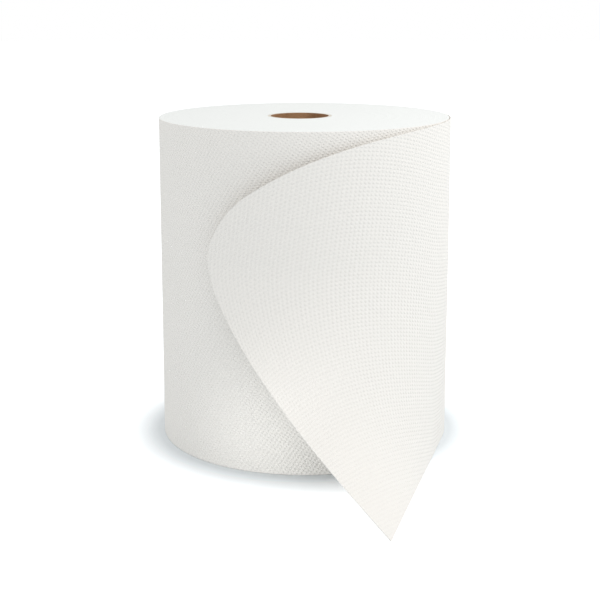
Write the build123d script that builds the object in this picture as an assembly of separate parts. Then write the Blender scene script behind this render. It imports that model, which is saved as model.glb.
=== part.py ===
from build123d import *
import os
from math import acos, atan2, cos, degrees, hypot, pi, radians, sin, sqrt

# Hard-wound paper towel roll, standing on its end with its loose end drawn out.
# Millimetres, +Z up. The origin is on the core's axis, at the base.
# Angles round the roll are in degrees from the front (-Y), positive towards +X.

# Web and core
WEB_WIDTH = 210.0          # width of the paper web, so the height of the roll
WOUND_RADIUS = 94.0        # radius of the wound turns under the loose one
SHEET = 0.5                # free thickness of the embossed paper
CORE_BORE = 38.0           # inner diameter of the cardboard tube
CORE_WALL = 2.0            # wall of the cardboard tube
CORE_OFFSET = 3.0          # how far the outer turns sit off the core's axis, towards +X

# Spiral lines of turns on the two cut ends, one for each band of turns
BAND = 14.0                # paper between two lines
LINE_WIDTH = 0.5
LINE_DEPTH = 0.4
LINE_MARGIN = 5.0          # plain paper beside the core and inside the outer turn

# Butt joint of the tube's inner ply, a helical groove
PLY_STRIP = 75.0           # width of the board strip that the tube is wound from
PLY_GAP = 0.8              # gap between two turns of the strip
PLY_DEPTH = 0.5            # thickness of one ply
PLY_START = 170.0          # degrees round the bore where the joint meets the base

# Loose end: the last turn leaves the roll at its root. Its lower edge is drawn out over the floor,
# straight to a tip, and its upper edge stays wound and slides down the roll.
ROOT_ANGLE = 100.0         # where the loose turn leaves the turn under it
ROOT_GAP = 0.3             # how far it lies off that turn there
TIP_RIGHT = 46.6           # the tip's place on the floor, right of the roll's own axis
TIP_FRONT = 188.2          # and in front of it
UPPER_LAST_ANGLE = -33.3   # how far round the roll the upper edge still lies
UPPER_GAP = 10.0           # how far it has come off the roll there
UPPER_GAP_SHAPE = 1.5      # above 1, it stays close to the roll for longer
PULL_HEIGHT = 130.4        # above it, the sheet hangs straight down from its upper edge
PULL_SHAPE = 1.58          # above 1, the sheet turns softly from hanging to drawn out
SECTIONS = 15              # level sections that the sheet is lofted through
SECTION_POINTS = 14        # points on each
OVERRUN = 1.06             # the sections run past the cut end by this share, and are trimmed to it

# Upper edge of the loose end, from the roll's rim to the soft corner above the cut end: share of
# the way along the sheet, and height as a share of the web. It starts above the web and the cut
# end's points end below it, so that the sheet is trimmed right through.
UPPER_EDGE = [
    (0.32, 1.014), (0.42, 0.993), (0.5, 0.979), (0.6, 0.962), (0.7, 0.932), (0.8, 0.889),
    (0.9, 0.816), (0.96, 0.749), (0.99, 0.688),
]
CUT_HEIGHTS = [0.629, 0.5, 0.38, 0.262, 0.167, 0.086, 0.0, -0.057]
TRIM_REACH = 150.0         # the trimming tool's size past the roll

core_radius = CORE_BORE / 2 + CORE_WALL
turn_step = ROOT_GAP + SHEET
root_radius = WOUND_RADIUS + ROOT_GAP
tip_distance = hypot(TIP_RIGHT, TIP_FRONT)
tangent_angle = degrees(atan2(TIP_RIGHT, TIP_FRONT) + acos(root_radius / tip_distance))
lower_round = root_radius * radians(ROOT_ANGLE - tangent_angle)
lower_length = lower_round + sqrt(tip_distance**2 - root_radius**2)
line_first = core_radius + LINE_MARGIN
line_last = WOUND_RADIUS - LINE_MARGIN
line_turns = round((line_last - line_first) / BAND)


def on_roll(radius, angle, height=0.0):
    """A point at a distance from the roll's own axis, at an angle from the front."""
    turned = radians(angle)
    return Vector(CORE_OFFSET + radius * sin(turned), -radius * cos(turned), height)


def lower_edge(share):
    """Point of the lower edge: round the roll as far as its tangent, then straight to the tip."""
    run = share * lower_length
    turned = ROOT_ANGLE - degrees(min(run, lower_round) / root_radius)
    heading = Vector(-cos(radians(turned)), -sin(radians(turned)))
    return on_roll(root_radius, turned) + heading * max(run - lower_round, 0)


def upper_edge(share):
    """Point of the upper edge, seen from above: round the roll, coming slowly off it."""
    turned = ROOT_ANGLE + (UPPER_LAST_ANGLE - ROOT_ANGLE) * share
    return on_roll(root_radius + UPPER_GAP * share**UPPER_GAP_SHAPE, turned)


def sheet_point(share, height):
    """Point on the inner face of the loose sheet."""
    pull = max(0, 1 - height / PULL_HEIGHT) ** PULL_SHAPE
    upper = upper_edge(share)
    return upper + (lower_edge(share) - upper) * pull + Vector(0, 0, height)


def sheet_section(height):
    """Level section through the loose sheet, from its root to past its cut end."""
    shares = [OVERRUN * i / (SECTION_POINTS - 1) for i in range(SECTION_POINTS)]
    inner = [sheet_point(share, height) for share in shares]
    inner_curve = Spline(*inner)
    outer = [inner[0] + (inner[0] - on_roll(0, 0, height)).normalized() * SHEET]
    for point in inner[1:]:
        along = inner_curve.tangent_at(point)
        outer.append(point + Vector(-along.Y, along.X).normalized() * SHEET)
    outer_curve = Spline(*outer)
    return make_face([inner_curve, Line(inner[-1], outer[-1]), outer_curve, Line(inner[0], outer[0])])


def half_turns(junctions):
    """Half circles that follow each other anticlockwise, each tangent to the next."""
    arcs = []
    for start, end in zip(junctions, junctions[1:]):
        centre = (start + end) / 2
        reach = start - centre
        arcs.append(ThreePointArc(start, centre + Vector(-reach.Y, reach.X), end))
    return arcs


def turn_line_side(growth):
    """Junctions of one side of the spiral line, from the outer turns in to the core."""
    count = 2 * line_turns
    junctions = []
    for i in range(count + 1):
        share = i / count
        radius = line_last + (line_first - line_last) * share + growth
        side = 1 if i % 2 == 0 else -1
        junctions.append(Vector(CORE_OFFSET * (1 - share) + side * radius, 0))
    return junctions


# Core: a spirally wound cardboard tube, cut flush with the paper
core_tube = extrude(Circle(core_radius) - Circle(CORE_BORE / 2), WEB_WIDTH)
bore_round = pi * CORE_BORE
ply_pitch = bore_round * PLY_STRIP / sqrt(bore_round**2 - PLY_STRIP**2)
joint_path = Helix(ply_pitch, WEB_WIDTH + 2 * ply_pitch, CORE_BORE / 2)
joint_start = joint_path @ 0
joint_section = Plane(origin=joint_start, x_dir=(1, 0, 0), z_dir=joint_path % 0) * Rectangle(
    2 * PLY_DEPTH, PLY_GAP
)
ply_joint = sweep(joint_section, path=joint_path, is_frenet=True)
core_tube -= Pos(0, 0, -ply_pitch) * Rot(0, 0, PLY_START) * ply_joint

# Wound turns: one solid whose outer face is the last turn, with a step at the root
last_turn = [
    on_roll(WOUND_RADIUS + turn_step, ROOT_ANGLE),
    on_roll(WOUND_RADIUS + turn_step / 2, ROOT_ANGLE + 180),
    on_roll(WOUND_RADIUS, ROOT_ANGLE),
]
wound_section = make_face(half_turns(last_turn) + [Line(last_turn[-1], last_turn[0])])
wound_turns = extrude(wound_section, WEB_WIDTH)

# Loose end: lofted through its level sections, then trimmed to its upper edge and its cut end
sheet = loft([sheet_section(WEB_WIDTH * i / (SECTIONS - 1)) for i in range(SECTIONS)])
outline = [sheet_point(share, height * WEB_WIDTH) for share, height in UPPER_EDGE]
outline += [sheet_point(1, height * WEB_WIDTH) for height in CUT_HEIGHTS]
edge_points = [Vector(point.X, 0, point.Z) for point in outline]
trim_side = CORE_OFFSET + WOUND_RADIUS + TRIM_REACH
trim_outline = make_face([
    Spline(*edge_points),
    Polyline(
        edge_points[-1],
        Vector(trim_side, 0, edge_points[-1].Z),
        Vector(trim_side, 0, edge_points[0].Z),
        edge_points[0],
    ),
])
loose_end = sheet & extrude(trim_outline, WOUND_RADIUS + TRIM_REACH, both=True)

# Paper: the wound turns and their loose end are one web
towel_roll = wound_turns + loose_end
towel_roll -= extrude(Circle(core_radius), WEB_WIDTH)

# Lines of turns on both cut ends, spiralling the way that the web is wound
line_inner = turn_line_side(0)
line_outer = turn_line_side(LINE_WIDTH)
line_ends = [Line(line_inner[0], line_outer[0]), Line(line_inner[-1], line_outer[-1])]
line_section = make_face(half_turns(line_inner) + half_turns(line_outer) + line_ends)
turn_line = extrude(line_section, LINE_DEPTH)
towel_roll -= turn_line
towel_roll -= Pos(0, 0, WEB_WIDTH - LINE_DEPTH) * turn_line

os.makedirs("parts", exist_ok=True)
export_step(towel_roll, "parts/towel_roll.step")
export_step(core_tube, "parts/core_tube.step")
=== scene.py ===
import bpy
from math import acos, atan2, cos, degrees, hypot, pi, radians, sin, sqrt
from mathutils import Matrix, Vector


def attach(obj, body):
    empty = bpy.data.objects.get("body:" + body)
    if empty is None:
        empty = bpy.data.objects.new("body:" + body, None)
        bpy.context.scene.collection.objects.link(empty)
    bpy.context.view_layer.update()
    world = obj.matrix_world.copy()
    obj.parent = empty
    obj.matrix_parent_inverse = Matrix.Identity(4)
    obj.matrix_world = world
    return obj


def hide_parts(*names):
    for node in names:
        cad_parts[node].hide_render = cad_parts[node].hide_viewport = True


# A hard-wound roll of embossed paper towel, standing on its end with the last turn drawn out to a
# point on the floor. Metres, +Z up, the core's axis at the origin and the front towards -Y.
# Angles round the roll are in degrees from the front, positive towards +X.
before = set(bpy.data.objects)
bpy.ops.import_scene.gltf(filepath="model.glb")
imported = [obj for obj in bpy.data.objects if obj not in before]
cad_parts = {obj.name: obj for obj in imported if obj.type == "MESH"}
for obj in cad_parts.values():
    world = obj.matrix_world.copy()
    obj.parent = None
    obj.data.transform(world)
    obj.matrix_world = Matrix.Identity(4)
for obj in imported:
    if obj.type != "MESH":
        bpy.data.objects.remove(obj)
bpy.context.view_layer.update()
bpy.context.scene.view_settings.view_transform = "Standard"

# Camera: a long lens a little above the rim, tipped down ten degrees. The frame is shifted down so
# that the roll stands high in it and the tip of the loose end fits under it.
CAMERA_PLACE = (0.0035, -0.8256, 0.2933)
CAMERA_TIPPED_DOWN = 10.026
CAMERA_LENS = 76.02
CAMERA_SHIFT = (-0.0085, -0.15)
camera_data = bpy.data.cameras.new("Camera")
camera_data.lens = CAMERA_LENS
camera_data.shift_x, camera_data.shift_y = CAMERA_SHIFT
camera = bpy.data.objects.new("Camera", camera_data)
camera.location = CAMERA_PLACE
camera.rotation_euler = (radians(90 - CAMERA_TIPPED_DOWN), 0, 0)
bpy.context.scene.collection.objects.link(camera)
bpy.context.scene.camera = camera

# Core: a tube of brown recycled board, two plies wound in a spiral round a mandrel, glued, and
# sawn flush with the paper. Its shape comes from the CAD, with the open joint of the inner ply.
WEB_WIDTH = 0.210
SAW_CUT = 0.0001             # what lies nearer than this to an end of the roll is cut by the saw
BOARD_WALL_DARK = "#966f4f"
BOARD_WALL_LIGHT = "#c09672"
BOARD_CUT = "#dcd6cb"
BOARD_FIBRE = 0.0011         # length of the fibre flecks, drawn twice as coarse as real ones
BOARD_CLOUDS = 90.0          # clouds of darker pulp to the metre, one for each 11 mm
BOARD_RELIEF = 0.0002


def colour(hex_value):
    """sRGB hex to the linear colour that the shader takes."""
    parts = [int(hex_value[i:i + 2], 16) / 255 for i in (1, 3, 5)]
    return [p / 12.92 if p <= 0.04045 else ((p + 0.055) / 1.055) ** 2.4 for p in parts] + [1.0]


def add(tree, kind, inputs=None, **settings):
    """Adds a node, with its settings and with its inputs linked or set."""
    made = tree.nodes.new(kind)
    for name, value in settings.items():
        setattr(made, name, value)
    for socket, value in (inputs or {}).items():
        if isinstance(value, bpy.types.NodeSocket):
            tree.links.new(value, made.inputs[socket])
        else:
            made.inputs[socket].default_value = value
    return made


# Grey-brown recycled board: rough, matt, flecked, and almost white where the saw has cut it.
board = bpy.data.materials.new("Spiral-wound core board")
board.use_nodes = True
tree = board.node_tree
tree.nodes.clear()
place = add(tree, "ShaderNodeTexCoord").outputs["Object"]
axes = add(tree, "ShaderNodeSeparateXYZ", {0: place}).outputs
flecks = add(tree, "ShaderNodeTexNoise", {
    "Vector": add(tree, "ShaderNodeMapping", {"Vector": place, "Scale": (1, 1, 3)}).outputs[0],
    "Scale": 1 / BOARD_FIBRE, "Detail": 4.0, "Roughness": 0.65}).outputs["Fac"]
blotches = add(tree, "ShaderNodeTexNoise", {
    "Vector": place, "Scale": BOARD_CLOUDS, "Detail": 3.0}).outputs["Fac"]
mottle = add(tree, "ShaderNodeMath", {0: flecks, 1: blotches}, operation="ADD").outputs[0]
wall = add(tree, "ShaderNodeMix", {
    0: add(tree, "ShaderNodeMapRange", {
        "Value": mottle, "From Min": 0.75, "From Max": 1.25}).outputs[0],
    6: colour(BOARD_WALL_DARK), 7: colour(BOARD_WALL_LIGHT)}, data_type="RGBA").outputs[2]
from_middle = add(tree, "ShaderNodeMath", {
    0: add(tree, "ShaderNodeMath", {
        0: axes["Z"], 1: WEB_WIDTH / 2}, operation="SUBTRACT").outputs[0]},
    operation="ABSOLUTE").outputs[0]
sawn = add(tree, "ShaderNodeMath", {
    0: from_middle, 1: WEB_WIDTH / 2 - SAW_CUT}, operation="GREATER_THAN").outputs[0]
board_colour = add(tree, "ShaderNodeMix", {
    0: sawn, 6: wall, 7: colour(BOARD_CUT)}, data_type="RGBA").outputs[2]
board_bump = add(tree, "ShaderNodeBump", {
    "Height": mottle, "Strength": 0.35, "Distance": BOARD_RELIEF}).outputs[0]
board_shader = add(tree, "ShaderNodeBsdfPrincipled", {
    "Base Color": board_colour, "Roughness": 0.88, "Specular IOR Level": 0.25,
    "Normal": board_bump})
add(tree, "ShaderNodeOutputMaterial", {"Surface": board_shader.outputs[0]})

core_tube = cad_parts["core_tube"]
for slot in core_tube.material_slots:
    slot.material = board

# Wound turns: some 150 m of paper in about 400 hard turns, sawn to width in a log. The last turn
# ends in a step of its own thickness at the root, where the loose end leaves the roll.
CORE_OUTSIDE = 0.021
CORE_AXIS_SHIFT = 0.003      # how far the outer turns sit off the core's axis
WOUND_RADIUS = 0.094
ROOT_ANGLE = 100.0
LAST_TURN_RISE = 0.00026     # the last turn ends this far out, close under the loose one
TURN_STEP = 0.00052          # and it is this much further out where it starts, at the root
RISE_FROM = 0.85             # the turns outside this share of the way from the core take up the rise
ROUND_STEPS = 256
SEAM_DEGREES = 0.1           # width of the step's face, seen from above
RIM_ROUND = 0.0004           # the saw leaves a soft edge
RIM_STEPS = 3
END_COLUMNS = 56             # columns across a cut end, for its uneven turns
WALL_ROWS = 12
UNEVEN = 0.00012             # how far bands of turns lie under the cut end
UNEVEN_WAVES = ((1.0, 1450, 0), (0.6, 3170, 1), (0.5, 610, 0))   # share, radians a metre, start
LEVEL_EDGE = 0.02            # share of the way at the core and at the rim that isn't uneven
TURN_LINES = 0.00125         # pitch at which the turns are drawn on the cut ends
CUT_END_SLOPE = 0.9          # a face that looks up or down by more than this is on a cut end
SHARP_ANGLE = 40.0           # an edge that turns by more stays sharp
SAME_PLACE = 1e-6            # points this near each other, in metres, count as one
SAME_ANGLE = 1e-5            # and directions this near each other, in radians
# Embossing: two steps of the dot lattice, length and direction on the web, u along and v up. On the
# loose end the lattice has turned with the drawn-out sheet. It starts to turn on the roll, this far
# before the root, and takes this length of the web for it.
DOTS_ON_ROLL = ((0.00187, 57.2), (0.00238, -32.3))
DOTS_ON_LOOSE_END = ((0.00230, 82.6), (0.00284, -16.1))
DOTS_TURN_FROM = 0.040
DOTS_TURN_OVER = 0.120


def lattice(steps):
    """Matrix from a place on the web, in metres, to a count of dots in each direction."""
    (first, first_turn), (second, second_turn) = steps
    columns = Matrix((
        (first * cos(radians(first_turn)), second * cos(radians(second_turn))),
        (first * sin(radians(first_turn)), second * sin(radians(second_turn)))))
    return columns.inverted()


roll_lattice = lattice(DOTS_ON_ROLL)
loose_lattice = lattice(DOTS_ON_LOOSE_END)


def dots_at(along, up):
    """Count of dots at a place on the web. Along is from the root, positive round the roll and
    negative on the loose end."""
    share = min(max((DOTS_TURN_FROM - along) / DOTS_TURN_OVER, 0), 1)
    share = share * share * (3 - 2 * share)
    spot = Vector((along, up - WEB_WIDTH / 2))
    return (roll_lattice @ spot).lerp(loose_lattice @ spot, share)


def at_cut_end(height):
    """Whether a height is that of one of the roll's sawn ends."""
    return abs(height - WEB_WIDTH / 2) > WEB_WIDTH / 2 - SAW_CUT


bpy.ops.object.select_all(action="DESELECT")
bpy.ops.mesh.primitive_plane_add(
    size=1, location=((CORE_OUTSIDE + WOUND_RADIUS) / 2, 0, WEB_WIDTH / 2), rotation=(pi / 2, 0, 0))
wound_turns = bpy.context.object
wound_turns.name = "wound_turns"
wound_turns.scale = (WOUND_RADIUS - CORE_OUTSIDE, WEB_WIDTH, 1)
bpy.ops.object.transform_apply(location=True, rotation=True, scale=True)
bpy.ops.object.mode_set(mode="EDIT")
bpy.ops.mesh.delete(type="ONLY_FACE")
for edge_of, cuts in (("wall", WALL_ROWS - 1), ("end", END_COLUMNS - 1)):
    bpy.ops.mesh.select_all(action="DESELECT")
    bpy.ops.object.mode_set(mode="OBJECT")
    points = wound_turns.data.vertices
    for edge in wound_turns.data.edges:
        start, end = (points[i].co for i in edge.vertices)
        if edge_of == "wall":
            edge.select = min(start.x, end.x) > WOUND_RADIUS - SAME_PLACE
        else:
            edge.select = abs(start.z - end.z) < SAME_PLACE
    bpy.ops.object.mode_set(mode="EDIT")
    bpy.ops.mesh.subdivide(number_cuts=cuts)
bpy.ops.mesh.select_all(action="DESELECT")
bpy.ops.object.mode_set(mode="OBJECT")
for point in wound_turns.data.vertices:
    point.select = point.co.x > WOUND_RADIUS - SAME_PLACE and at_cut_end(point.co.z)
bpy.ops.object.mode_set(mode="EDIT")
bpy.ops.mesh.bevel(offset=RIM_ROUND, segments=RIM_STEPS, affect="VERTICES")
bpy.ops.mesh.select_all(action="SELECT")
bpy.ops.mesh.spin(
    steps=ROUND_STEPS, angle=radians(360 - SEAM_DEGREES), center=(0, 0, 0), axis=(0, 0, 1))
bpy.ops.mesh.select_all(action="DESELECT")
bpy.ops.object.mode_set(mode="OBJECT")
mesh = wound_turns.data
last_ring = radians(360 - SEAM_DEGREES)
# The spin runs clockwise, seen from above
spun = [(2 * pi - atan2(point.co.y, point.co.x)) % (2 * pi) for point in mesh.vertices]
spun = [0 if 2 * pi - turn < SAME_ANGLE else turn for turn in spun]
at_seam = [turn < SAME_ANGLE or abs(turn - last_ring) < SAME_ANGLE for turn in spun]
for edge in mesh.edges:
    edge.select = all(at_seam[i] for i in edge.vertices)
bpy.ops.object.mode_set(mode="EDIT")
bpy.ops.mesh.bridge_edge_loops()
bpy.ops.object.mode_set(mode="OBJECT")

emboss = mesh.attributes.new("dots", "FLOAT_VECTOR", "POINT")
turns = mesh.attributes.new("turns", "FLOAT_VECTOR", "POINT")
for i, point in enumerate(mesh.vertices):
    radius = hypot(point.co.x, point.co.y)
    height = point.co.z
    way_out = (radius - CORE_OUTSIDE) / (WOUND_RADIUS - CORE_OUTSIDE)
    left = 1 - spun[i] / last_ring
    rise = LAST_TURN_RISE + TURN_STEP * left
    grown = radius + rise * max(0, (way_out - RISE_FROM) / (1 - RISE_FROM))
    turns.data[i].vector = (radius + TURN_LINES * left, radius, height)
    emboss.data[i].vector = (*dots_at(spun[i] * WOUND_RADIUS, height), 0)
    if at_cut_end(height) and LEVEL_EDGE < way_out < 1 - LEVEL_EDGE:
        wave = sum(share * sin(radius * rate + start) for share, rate, start in UNEVEN_WAVES)
        sunk = UNEVEN * abs(wave)
        height += sunk if height < WEB_WIDTH / 2 else -sunk
    angle = radians(ROOT_ANGLE) + spun[i]
    point.co = (CORE_AXIS_SHIFT * way_out + grown * sin(angle), -grown * cos(angle), height)

bpy.ops.object.mode_set(mode="EDIT")
bpy.ops.mesh.select_all(action="SELECT")
bpy.ops.mesh.normals_make_consistent(inside=False)
bpy.ops.object.mode_set(mode="OBJECT")

# Embossed towel paper: soft bleached tissue, two plies pressed together over a steel roll, so the
# face is a lattice of low round dots with loose fibres between them. Dead matt, no gloss at all.
PAPER = "#f7f4ef"
DOT_HEIGHT = 0.00026
DOT_FOOT = 0.46              # from a dot's middle to its foot, as a share of the lattice's step
DOT_TOP = 0.10               # and to the edge of its flat top
FIBRE_SIZE = 0.0009
FIBRE_HEIGHT = 0.00012
paper = bpy.data.materials.new("Embossed bleached tissue")
paper.use_nodes = True
tree = paper.node_tree
tree.nodes.clear()
count = add(tree, "ShaderNodeAttribute", attribute_name="dots").outputs["Vector"]
cell = add(tree, "ShaderNodeVectorMath", {0: count}, operation="FRACTION").outputs[0]
off_middle = add(tree, "ShaderNodeVectorMath", {0: cell, 1: (0.5, 0.5, 0)}, operation="SUBTRACT")
reach = add(tree, "ShaderNodeVectorMath", {0: off_middle.outputs[0]}, operation="LENGTH")
dome = add(tree, "ShaderNodeMapRange", {
    "Value": reach.outputs["Value"], "From Min": DOT_FOOT, "From Max": DOT_TOP},
    interpolation_type="SMOOTHSTEP").outputs[0]
fibres = add(tree, "ShaderNodeTexNoise", {
    "Vector": add(tree, "ShaderNodeTexCoord").outputs["Object"],
    "Scale": 1 / FIBRE_SIZE, "Detail": 5.0, "Roughness": 0.7}).outputs["Fac"]
nap = add(tree, "ShaderNodeMath", {0: fibres, 1: FIBRE_HEIGHT}, operation="MULTIPLY").outputs[0]
relief = add(tree, "ShaderNodeMath", {
    0: dome, 1: DOT_HEIGHT, 2: nap}, operation="MULTIPLY_ADD").outputs[0]
paper_bump = add(tree, "ShaderNodeBump", {
    "Height": relief, "Strength": 1.0, "Distance": 1.0}).outputs[0]
paper_shader = add(tree, "ShaderNodeBsdfPrincipled", {
    "Base Color": colour(PAPER), "Roughness": 0.95, "Specular IOR Level": 0.15,
    "Normal": paper_bump})
add(tree, "ShaderNodeOutputMaterial", {"Surface": paper_shader.outputs[0]})

# Sawn ends of the turns: the edges of the web packed side by side. The real turns are pressed to
# under 0.2 mm, too fine to show, so the lines are drawn about seven times as coarse.
CUT_EDGE = "#f2f4f2"
# painted shade: the gaps between the turns are drawn darker, as the shade that falls in them
CUT_GAP_SHADE = "#e8eae8"
TURN_BANDS = 280.0           # bands of higher and lower turns to the metre, one for each 3.6 mm
CUT_RELIEF = 0.00015
cut_paper = bpy.data.materials.new("Sawn edges of wound tissue")
cut_paper.use_nodes = True
tree = cut_paper.node_tree
tree.nodes.clear()
spiral = add(tree, "ShaderNodeSeparateXYZ", {
    0: add(tree, "ShaderNodeAttribute", attribute_name="turns").outputs["Vector"]}).outputs
turn_count = add(tree, "ShaderNodeMath", {0: spiral["X"], 1: TURN_LINES}, operation="DIVIDE")
in_turn = add(tree, "ShaderNodeMath", {0: turn_count.outputs[0]}, operation="FRACT").outputs[0]
off_line = add(tree, "ShaderNodeMath", {0: in_turn, 1: 0.5}, operation="SUBTRACT").outputs[0]
ridge = add(tree, "ShaderNodeMapRange", {
    "Value": add(tree, "ShaderNodeMath", {0: off_line}, operation="ABSOLUTE").outputs[0],
    "From Min": 0.5, "From Max": 0.25}, interpolation_type="SMOOTHSTEP").outputs[0]
bands = add(tree, "ShaderNodeTexNoise", {
    "W": spiral["Y"], "Scale": TURN_BANDS, "Detail": 3.0}, noise_dimensions="1D").outputs["Fac"]
fuzz = add(tree, "ShaderNodeTexNoise", {
    "Vector": add(tree, "ShaderNodeTexCoord").outputs["Object"],
    "Scale": 1 / FIBRE_SIZE, "Detail": 5.0, "Roughness": 0.75}).outputs["Fac"]
uneven = add(tree, "ShaderNodeMath", {
    0: ridge, 1: bands, 2: fuzz}, operation="MULTIPLY_ADD").outputs[0]
cut_bump = add(tree, "ShaderNodeBump", {
    "Height": uneven, "Strength": 0.5, "Distance": CUT_RELIEF}).outputs[0]
# Painted shade along each gap between turns, mixed in by the ridge
cut_colour = add(tree, "ShaderNodeMix", {
    0: ridge, 6: colour(CUT_GAP_SHADE), 7: colour(CUT_EDGE)}, data_type="RGBA")
cut_shader = add(tree, "ShaderNodeBsdfPrincipled", {
    "Base Color": cut_colour.outputs[2], "Roughness": 1.0, "Specular IOR Level": 0.1,
    "Normal": cut_bump})
add(tree, "ShaderNodeOutputMaterial", {"Surface": cut_shader.outputs[0]})

mesh.materials.append(paper)
mesh.materials.append(cut_paper)
for face in mesh.polygons:
    face.material_index = 1 if abs(face.normal.z) > CUT_END_SLOPE else 0
bpy.ops.object.shade_smooth_by_angle(angle=radians(SHARP_ANGLE))
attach(wound_turns, "root")
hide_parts("towel_roll")

# Loose end: the last turn, let go at the root. Its upper edge slides down round the roll and its
# lower edge is drawn straight out over the floor, so the torn end runs from a soft corner to a tip.
SHEET = 0.0005               # free thickness of the two plies
LOOSE_LENGTH = 0.229         # from the root to the torn end, before it is drawn out
ROOT_GAP = 0.0003            # how far off the roll's first radius it lies there
TUCK_SHARE = 0.011           # the sheet starts this share of its length before the root,
TUCK_DEPTH = 0.00004         # a hair under the face of the turn there, so that no crack shows
TIP = (0.0466, 0.1882)       # right of the outer turns' axis, and in front of it
UPPER_LAST_ANGLE = -33.31    # how far round the roll the upper edge still lies
UPPER_GAP = 0.010            # how far it has come off the roll there
UPPER_GAP_SHAPE = 1.5        # above 1, it stays close to the roll for longer
UPPER_DROP = 0.058           # how far the upper edge has slid down at the cut end
UPPER_DROP_SHAPE = 3.9       # above 1, it slides down late
CORNER_SHARE = 0.1           # the soft corner takes the last tenth of the upper edge
CORNER_DROP = 0.0173         # and falls by this much more
PULL_HEIGHT = 0.13044        # above it the sheet hangs straight from its upper edge
PULL_SHAPE = 1.58            # above 1, it turns softly from hanging to drawn out
COLUMNS = 112
COLUMN_CROWDING = 1.4        # above 1, the columns stand closer together towards the torn end
ROWS = 84

root_radius = WOUND_RADIUS + ROOT_GAP
tip_distance = hypot(*TIP)
tangent_angle = degrees(atan2(*TIP) + acos(root_radius / tip_distance))
lower_round = root_radius * radians(ROOT_ANGLE - tangent_angle)
lower_length = lower_round + sqrt(tip_distance**2 - root_radius**2)
tuck_angle = ROOT_ANGLE + TUCK_SHARE * (ROOT_ANGLE - UPPER_LAST_ANGLE)


def on_roll(radius, angle):
    """A point at a distance from the outer turns' axis, at an angle from the front."""
    return Vector((CORE_AXIS_SHIFT + radius * sin(radians(angle)), -radius * cos(radians(angle)), 0))


def lower_edge(share):
    """Point of the lower edge: round the roll as far as its tangent, then straight to the tip."""
    run = share * lower_length
    angle = ROOT_ANGLE - degrees(min(run, lower_round) / root_radius)
    heading = Vector((-cos(radians(angle)), -sin(radians(angle)), 0))
    return on_roll(root_radius, angle) + heading * max(run - lower_round, 0)


def upper_edge(share):
    """Point of the upper edge, seen from above: round the roll, coming slowly off it."""
    angle = ROOT_ANGLE + (UPPER_LAST_ANGLE - ROOT_ANGLE) * share
    return on_roll(root_radius + UPPER_GAP * share**UPPER_GAP_SHAPE, angle)


def top_height(share):
    """Height of the web's upper edge, with its soft corner at the torn end."""
    corner = max(0, (share - 1 + CORNER_SHARE) / CORNER_SHARE)
    rounded = CORNER_DROP * (1 - sqrt(max(0, 1 - corner * corner)))
    return WEB_WIDTH - UPPER_DROP * share**UPPER_DROP_SHAPE - rounded


def pulled(height):
    """How far the sheet is drawn out at a height, from 0 where it hangs to 1 on the floor."""
    return max(0, 1 - height / PULL_HEIGHT) ** PULL_SHAPE


def sheet_point(share, up):
    """Point of the sheet's inner face: share of the way from the root, and of the way up."""
    height = top_height(share) * up
    upper = upper_edge(share)
    return upper + (lower_edge(share) - upper) * pulled(height) + Vector((0, 0, height))


bpy.ops.object.select_all(action="DESELECT")
bpy.ops.mesh.primitive_grid_add(x_subdivisions=COLUMNS, y_subdivisions=ROWS, size=2)
loose_end = bpy.context.object
loose_end.name = "loose_end"
mesh = loose_end.data
columns = sorted({round(point.co.x, 5) for point in mesh.vertices})
rows = sorted({round(point.co.y, 5) for point in mesh.vertices})
last_column = len(columns) - 2
ways = [1 - (1 - column / last_column) ** COLUMN_CROWDING for column in range(last_column + 1)]
ways.insert(0, -TUCK_SHARE)
spots = {}
for point in mesh.vertices:
    column = columns.index(round(point.co.x, 5))
    row = rows.index(round(point.co.y, 5))
    up = row / (len(rows) - 1)
    if column == 0:
        height = RIM_ROUND + (WEB_WIDTH - 2 * RIM_ROUND) * up
        point.co = on_roll(root_radius - TUCK_DEPTH, tuck_angle) + Vector((0, 0, height))
    else:
        point.co = sheet_point(ways[column], up)
    spots[column, row] = point.index
emboss = mesh.attributes.new("dots", "FLOAT_VECTOR", "POINT")
for column, way in enumerate(ways):
    below = mesh.vertices[spots[column, 0]].co
    climbed = below.z
    for row in range(len(rows)):
        here = mesh.vertices[spots[column, row]].co
        climbed += (here - below).length
        below = here
        along = way * (LOOSE_LENGTH + (lower_length - LOOSE_LENGTH) * pulled(here.z))
        emboss.data[spots[column, row]].vector = (*dots_at(-along, climbed), 0)
thickness = loose_end.modifiers.new("Two plies", "SOLIDIFY")
thickness.thickness = SHEET
thickness.offset = -1
bpy.ops.object.modifier_apply(modifier="Two plies")
for point in mesh.vertices:
    point.co.z = max(point.co.z, 0)
bpy.ops.object.shade_smooth_by_angle(angle=radians(SHARP_ANGLE))
mesh.materials.append(paper)
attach(loose_end, "root")
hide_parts("towel_roll")

# Floor: a plain sweep of matt white paper, faintly cool. For the camera a painted light lifts it to
# white, as the background is, except round the roll's foot, where its soft shade is left as it
# falls.
FLOOR_COLOUR = "#e8edf0"
FLOOR_SIZE = 12
FLOOR_DROP = 0.0001          # a hair under the roll, so that their faces don't meet
# Painted light: past FULL_SHADE the floor glows white for the camera only, at full strength by
# SHADE_REACH, over real shade such as the loose end's shadow
LIFT_FAR_OFF = 0.70          # light added for the camera where the shade has gone
FULL_SHADE = 0.004           # how far from the roll's foot the shade is left as it falls
SHADE_REACH = 0.034          # and how far out it has gone


def seen_directly(tree):
    """Gives 1 where the camera, a gloss or a clear material looks, and 0 where light bounces."""
    ray = add(tree, "ShaderNodeLightPath").outputs
    straight = add(tree, "ShaderNodeMath", {
        0: ray["Is Camera Ray"], 1: ray["Is Glossy Ray"]}, operation="MAXIMUM").outputs[0]
    return add(tree, "ShaderNodeMath", {
        0: straight, 1: ray["Is Transmission Ray"]}, operation="MAXIMUM").outputs[0]


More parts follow.
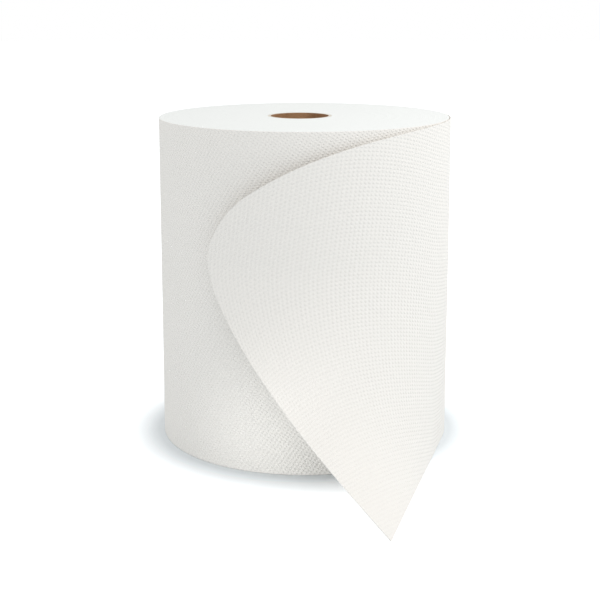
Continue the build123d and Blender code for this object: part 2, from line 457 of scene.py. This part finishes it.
bpy.ops.object.select_all(action="DESELECT")
bpy.ops.mesh.primitive_plane_add(size=FLOOR_SIZE, location=(0, 0, -FLOOR_DROP))
floor = bpy.context.object
floor.name = "floor"
floor_material = bpy.data.materials.new("Pale studio sweep")
floor_material.use_nodes = True
tree = floor_material.node_tree
tree.nodes.clear()
from_axis = add(tree, "ShaderNodeVectorMath", {
    0: add(tree, "ShaderNodeTexCoord").outputs["Object"], 1: (CORE_AXIS_SHIFT, 0, 0)},
    operation="DISTANCE").outputs["Value"]
# painted light on the floor, rising with the distance from the roll's axis
clear = add(tree, "ShaderNodeMapRange", {
    "Value": from_axis, "From Min": WOUND_RADIUS + FULL_SHADE,
    "From Max": WOUND_RADIUS + SHADE_REACH, "To Max": LIFT_FAR_OFF}).outputs[0]
lifted = add(tree, "ShaderNodeMath", {
    0: seen_directly(tree), 1: clear}, operation="MULTIPLY").outputs[0]
lift = add(tree, "ShaderNodeEmission", {"Color": (1, 1, 1, 1), "Strength": lifted})
matt = add(tree, "ShaderNodeBsdfDiffuse", {"Color": colour(FLOOR_COLOUR)})
both = add(tree, "ShaderNodeAddShader", {0: matt.outputs[0], 1: lift.outputs[0]})
add(tree, "ShaderNodeOutputMaterial", {"Surface": both.outputs[0]})
floor.data.materials.append(floor_material)

# Light: an even white room, one soft lamp high on the right, a little in front, so that the wall of
# the roll falls off gently to the left, and a small card low on the left that throws a little light
# into the hollow under the loose end.
ROOM = 0.87                  # how bright the room is as a light; the camera sees pure white
LAMP_TURN = 70.0             # degrees round from the front
LAMP_RISE = 48.0             # degrees up from the middle of the roll
LAMP_AWAY = 0.65
LAMP_SIZE = 0.55
LAMP_POWER = 1.02
LAMP_SPREAD = 180.0
CARD_PLACE = Vector((-0.21, -0.26, 0.02))
CARD_AIM = Vector((0.02, -0.1, 0.012))
CARD_SIZE = 0.08
CARD_POWER = 0.0105
CARD_SPREAD = 30.0
world = bpy.data.worlds.new("White room")
bpy.context.scene.world = world
world.use_nodes = True
tree = world.node_tree
tree.nodes.clear()
level = add(tree, "ShaderNodeMapRange", {
    "Value": seen_directly(tree), "To Min": ROOM, "To Max": 1.0}).outputs[0]
room = add(tree, "ShaderNodeBackground", {"Color": (1, 1, 1, 1), "Strength": level})
add(tree, "ShaderNodeOutputWorld", {"Surface": room.outputs[0]})

middle = Vector((0, 0, WEB_WIDTH / 2))
out = Vector((sin(radians(LAMP_TURN)) * cos(radians(LAMP_RISE)),
              -cos(radians(LAMP_TURN)) * cos(radians(LAMP_RISE)), sin(radians(LAMP_RISE))))
for name, place, aim, size, power, spread in (
        ("Soft lamp", middle + out * LAMP_AWAY, middle, LAMP_SIZE, LAMP_POWER, LAMP_SPREAD),
        ("Low card", CARD_PLACE, CARD_AIM, CARD_SIZE, CARD_POWER, CARD_SPREAD)):
    lamp_data = bpy.data.lights.new(name, "AREA")
    lamp_data.shape = "DISK"
    lamp_data.size = size
    lamp_data.energy = power
    lamp_data.spread = radians(spread)
    lamp = bpy.data.objects.new(name, lamp_data)
    lamp.location = place
    lamp.rotation_euler = (place - aim).to_track_quat("Z", "Y").to_euler()
    lamp.visible_camera = False
    bpy.context.scene.collection.objects.link(lamp)
